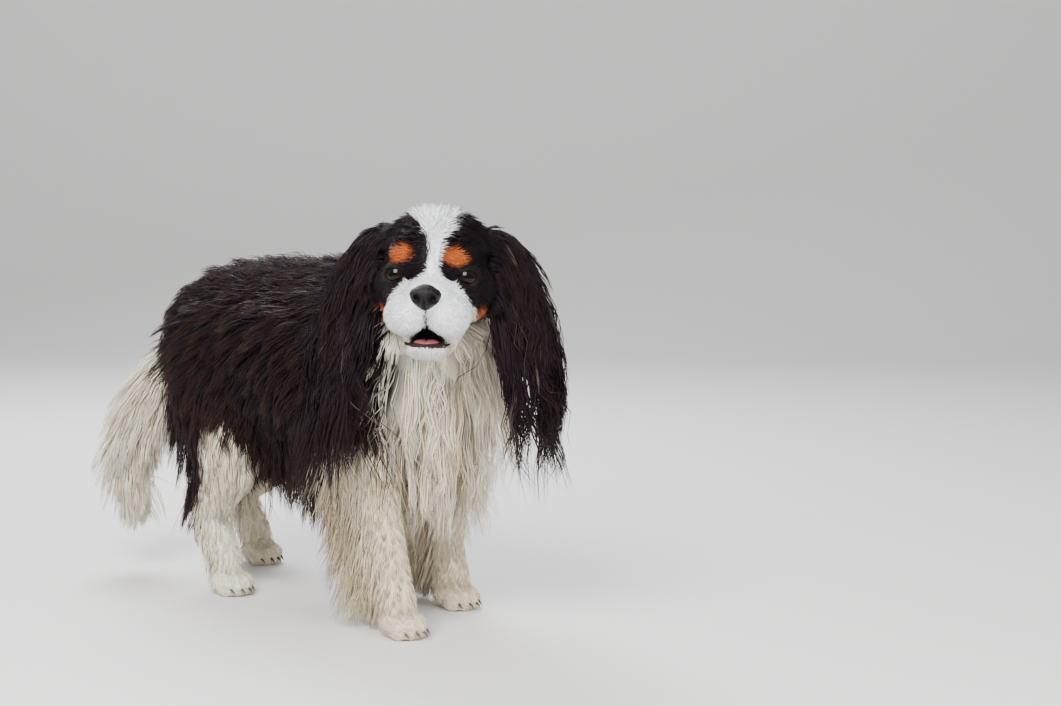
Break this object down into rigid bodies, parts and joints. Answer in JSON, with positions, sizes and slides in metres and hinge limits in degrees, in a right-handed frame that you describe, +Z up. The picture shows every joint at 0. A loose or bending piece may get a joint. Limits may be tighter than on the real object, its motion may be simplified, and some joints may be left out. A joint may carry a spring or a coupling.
{
  "type": "cavalier king charles spaniel",
  "caption": "Life-size still model of a small long-coated spaniel standing on four paws, head turned to its right, with long feathered ears, bib, leg fringes and plumed tail.",
  "frame": {"origin": "on the floor under the middle of the whole model's box", "axes": "+Z up, -Y the way the body faces, -X the dog's right side; the head is turned towards -X and -Y"},
  "size_m": [0.2661, 0.6181, 0.3844],
  "materials": {
    "coat": "long silky hair, black on the back and ears, white on the legs, bib, blaze and tail, tan over the eyes and on the cheeks",
    "eye": "wet and glossy, dark brown",
    "nose": "moist, pebbled black leather",
    "tongue": "moist pink flesh"
  },
  "bodies": {
    "root": {"torso": "coat", "neck": "coat", "head": "coat", "tail": "coat", "leg_fore_right": "coat", "leg_fore_left": "coat", "leg_hind_right": "coat", "leg_hind_left": "coat", "ear_right": "coat", "ear_left": "coat", "eye_right": "eye", "eye_left": "eye", "nose": "nose", "tongue": "tongue"}
  },
  "joints": []
}
